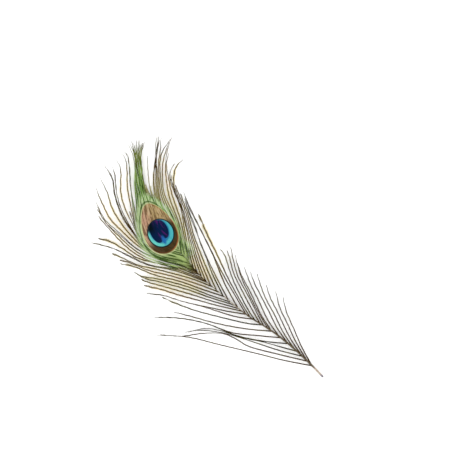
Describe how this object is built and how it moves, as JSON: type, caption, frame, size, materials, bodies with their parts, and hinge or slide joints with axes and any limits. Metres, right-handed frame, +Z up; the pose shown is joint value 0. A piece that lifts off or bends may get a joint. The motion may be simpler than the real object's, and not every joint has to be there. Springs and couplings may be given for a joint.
{
  "type": "peacock feather",
  "caption": "Trimmed peacock eye feather lying flat: a bare cut quill, loose barbs fanning from both sides of a curved shaft, and a blue and bronze eye below a fringed tip.",
  "frame": {"origin": "under the middle of the feather's box, on the surface it lies on", "axes": "+Y along the feather from the quill's cut end to the plume, +X to its right seen from above, +Z up from the surface"},
  "size_m": [0.1336, 0.3049, 0.0108],
  "materials": {
    "feather": "matt olive brown barbs with a satin sheen, iridescent at the eye"
  },
  "bodies": {
    "root": {"feather": "feather"}
  },
  "joints": []
}
